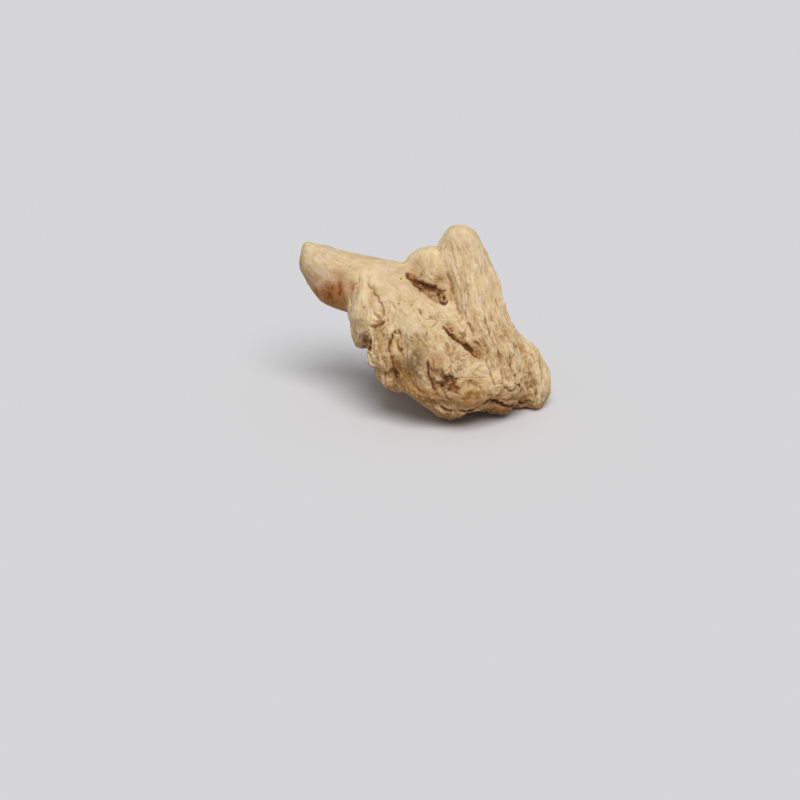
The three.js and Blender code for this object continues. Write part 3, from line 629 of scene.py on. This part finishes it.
def tuned(value, low, high, to_low=0.0, to_high=1.0):
    """A value stretched from one range to another."""
    ramp = nodes.new("ShaderNodeMapRange")
    ramp.inputs["From Min"].default_value = low
    ramp.inputs["From Max"].default_value = high
    ramp.inputs["To Min"].default_value = to_low
    ramp.inputs["To Max"].default_value = to_high
    links.new(value, ramp.inputs["Value"])
    return ramp.outputs["Result"]


def laid_over(under, over, amount):
    """One colour laid over another by an amount."""
    mix = nodes.new("ShaderNodeMix")
    mix.data_type = "RGBA"
    for socket, value in ((mix.inputs[6], under), (mix.inputs[7], over), (mix.inputs[0], amount)):
        if isinstance(value, (list, float)):
            socket.default_value = value
        else:
            links.new(value, socket)
    return mix.outputs[2]


def grain(vector, scale, detail, rough=0.5):
    """Noise over a vector."""
    cloud = nodes.new("ShaderNodeTexNoise")
    cloud.inputs["Scale"].default_value = scale
    cloud.inputs["Detail"].default_value = detail
    cloud.inputs["Roughness"].default_value = rough
    links.new(vector, cloud.inputs["Vector"])
    return cloud.outputs["Fac"]


def creased(vector, scale, detail, width):
    """Thin lines that wind through a vector, 1 on the line and 0 beside it."""
    off = nodes.new("ShaderNodeMath")
    off.operation = "SUBTRACT"
    off.inputs[1].default_value = 0.5
    links.new(grain(vector, scale, detail, 0.45), off.inputs[0])
    size = nodes.new("ShaderNodeMath")
    size.operation = "ABSOLUTE"
    links.new(off.outputs[0], size.inputs[0])
    return tuned(size.outputs[0], 0, width, 1, 0)


def product(first, second):
    """Two values multiplied."""
    times = nodes.new("ShaderNodeMath")
    times.operation = "MULTIPLY"
    links.new(first, times.inputs[0])
    links.new(second, times.inputs[1])
    return times.outputs[0]


def stretched(vector, by):
    """A vector made longer or shorter along each axis."""
    pull = nodes.new("ShaderNodeVectorMath")
    pull.operation = "MULTIPLY"
    pull.inputs[1].default_value = by
    links.new(vector, pull.inputs[0])
    return pull.outputs["Vector"]


on_root = nodes.new("ShaderNodeTexCoord").outputs["Object"]
fibre_lay = nodes.new("ShaderNodeAttribute")
fibre_lay.attribute_name = "fibre"
along_fibre = fibre_lay.outputs["Vector"]
broad = grain(on_root, 150, 3)
blotch = grain(on_root, 420, 3, 0.6)
speckle = grain(on_root, 1300, 4, 0.65)
rings = grain(stretched(on_root, (1, 1, 0.28)), 900, 3, 0.6)
# The fibres' marks fade out at the lobes' borders, where the fibres of two lobes meet.
streak = tuned(product(tuned(grain(along_fibre, 0.9, 5, 0.6), 0, 1, -0.5, 0.5), read("own")), -0.5, 0.5)
lines = product(creased(along_fibre, 0.62, 2, 0.06),
                product(tuned(read("drawn"), 0.35, 1.1), read("own")))
crinkle = product(creased(stretched(along_fibre, (1, 1, 3)), 0.7, 3, 0.075),
                  product(tuned(read("crumpled"), 0.1, 0.9), read("own")))
# The coats of colour, each laid over the one before: the flesh, its stains, painted shade on skin facing
# down and in its wrinkles and hollows, painted highlights on its ridges, a brown halo beside its tears,
# and the tears with painted shade inside them.
coats = [
    ((206, 180, 140), tuned(read("peeled"), 0, 1, 0, 0.85)),
    ((206, 170, 118), tuned(broad, 0.45, 0.68, 0, 0.55)),
    ((204, 184, 128), tuned(blotch, 0.5, 0.36, 0, 0.4)),
    ((226, 200, 176), tuned(blotch, 0.5, 0.66, 0, 0.65)),
    ((236, 218, 182), tuned(streak, 0.5, 0.68, 0, 0.55)),
    ((190, 152, 102), tuned(streak, 0.48, 0.3, 0, 0.5)),
    # Painted shade: dark brown on skin that faces down.
    ((158, 108, 48), tuned(read("underside"), 0, 1, 0, 0.72)),
    ((150, 112, 44), tuned(read("olive"), 0, 0.8, 0, 0.9)),
    ((156, 102, 42), product(tuned(read("ochre"), 0, 1.1), tuned(blotch, 0.36, 0.56, 0.6, 1))),
    ((112, 86, 54), tuned(read("grey"), 0, 1.05, 0, 0.86)),
    # Russet: the rusty stains, and painted shade low under the right lobe.
    ((106, 54, 20), tuned(read("russet"), 0, 0.9, 0, 0.9)),
    ((158, 94, 32), product(tuned(read("stain"), 0, 0.85, 0, 0.95), tuned(rings, 0.34, 0.5, 0.72, 1))),
    ((98, 52, 20), product(tuned(read("stain"), 0.3, 0.9), tuned(rings, 0.5, 0.6, 0, 0.7))),
    # Painted highlight: the fine ridges are made pale.
    ((236, 214, 176), tuned(read("fine_shade_and_highlight"), -0.2, -1, 0, 0.3)),
    # Painted shade in the wrinkles' valleys and along the creased lines and crinkles.
    ((188, 144, 88), tuned(read("furrow"), 0.15, 0.9, 0, 0.4)),
    ((180, 138, 88), tuned(lines, 0, 1, 0, 0.32)),
    ((158, 108, 54), tuned(crinkle, 0, 1, 0, 0.24)),
    # Painted shade in the broad and fine hollows.
    ((176, 128, 68), tuned(read("painted_hollow_shade"), 0.3, 1.2, 0, 0.45)),
    ((142, 94, 44), tuned(read("fine_shade_and_highlight"), 0.35, 1.1, 0, 0.5)),
    # A brown halo beside the tears.
    ((166, 114, 64), product(tuned(read("tear_halo"), 0.1, 0.9, 0, 0.8), tuned(blotch, 0.36, 0.6, 0.25, 1))),
    ((130, 90, 52), tuned(speckle, 0.63, 0.76, 0, 0.35)),
    # Dark torn flesh, and painted shade deep in the tear slots and holes, near black at the deepest.
    ((116, 68, 32), tuned(read("torn_flesh_and_shade"), 0.1, 0.7, 0, 0.9)),
    ((42, 22, 14), tuned(read("torn_flesh_and_shade"), 0.75, 1, 0, 0.7)),
    ((196, 146, 90), tuned(read("crumb"), 0.25, 0.75, 0, 0.75)),
]
colour = as_seen(236, 213, 170)
for tint, amount in coats:
    colour = laid_over(colour, as_seen(*tint), amount)
links.new(colour, skin_shader.inputs["Base Color"])
links.new(tuned(streak, 0.3, 0.7, 0.66, 0.88), skin_shader.inputs["Roughness"])
rough_skin = streak
for rise in (tuned(speckle, 0, 1, 0, 0.5), tuned(lines, 0, 1, 0, -0.35), tuned(crinkle, 0, 1, 0, -0.6)):
    height = nodes.new("ShaderNodeMath")
    height.operation = "ADD"
    links.new(rough_skin, height.inputs[0])
    links.new(rise, height.inputs[1])
    rough_skin = height.outputs[0]
bump = nodes.new("ShaderNodeBump")
bump.inputs["Strength"].default_value = 0.85
bump.inputs["Distance"].default_value = 0.45 * MM
links.new(rough_skin, bump.inputs["Height"])
links.new(bump.outputs["Normal"], skin_shader.inputs["Normal"])

dense_mesh.materials.clear()
dense_mesh.materials.append(dried)
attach(root, "root")
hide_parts("ginger_root")

# ---------------------------------------------------------------------------------------------------
# The table. A plain sheet of pale paper, matt and flat, that the root rests on and that runs on past it
# on all sides, so that no edge of it is seen.
table = bmesh.new()
bmesh.ops.create_grid(table, x_segments=1, y_segments=1, size=4)
table_mesh = bpy.data.meshes.new("table")
table.to_mesh(table_mesh)
table.free()
table_top = bpy.data.objects.new("table", table_mesh)
bpy.context.scene.collection.objects.link(table_top)
paper = bpy.data.materials.new("pale paper")
paper.use_nodes = True
paper.node_tree.nodes["Principled BSDF"].inputs["Base Color"].default_value = as_seen(214, 213, 214)
paper.node_tree.nodes["Principled BSDF"].inputs["Roughness"].default_value = 0.9
table_mesh.materials.append(paper)

# ---------------------------------------------------------------------------------------------------
# The light. One very wide soft lamp high up, in front of the root and a little to its right, and a dim
# even sky, so that the shadows are soft and the wrinkles still show.
sky = bpy.data.worlds.new("pale sky")
sky.use_nodes = True
sky.node_tree.nodes["Background"].inputs["Color"].default_value = as_seen(246, 248, 252)
sky.node_tree.nodes["Background"].inputs["Strength"].default_value = 0.32
bpy.context.scene.world = sky

lamp = bpy.data.lights.new("soft lamp", "SUN")
lamp.angle = math.radians(40)
lamp.energy = 2.55
lamp_holder = bpy.data.objects.new("soft lamp", lamp)
lamp_holder.rotation_mode = "QUATERNION"
lamp_holder.rotation_quaternion = Vector((-0.11, 0.48, -0.87)).to_track_quat("-Z", "Y")
bpy.context.scene.collection.objects.link(lamp_holder)

# ---------------------------------------------------------------------------------------------------
# The camera. It looks along +Y and down by 25 degrees, from a little over half a metre, where the root
# lies as large and as high as it should.
TILT = math.radians(25)
camera = bpy.data.cameras.new("camera")
camera.lens = 88.4
camera.sensor_width = 36
camera.clip_start = 0.01
camera.clip_end = 50
eye = bpy.data.objects.new("camera", camera)
eye.location = (-0.007055, -0.50043, 0.23452)
eye.rotation_euler = (math.pi / 2 - TILT, 0, 0)
bpy.context.scene.collection.objects.link(eye)
bpy.context.scene.camera = eye
bpy.context.scene.view_settings.view_transform = "Standard"
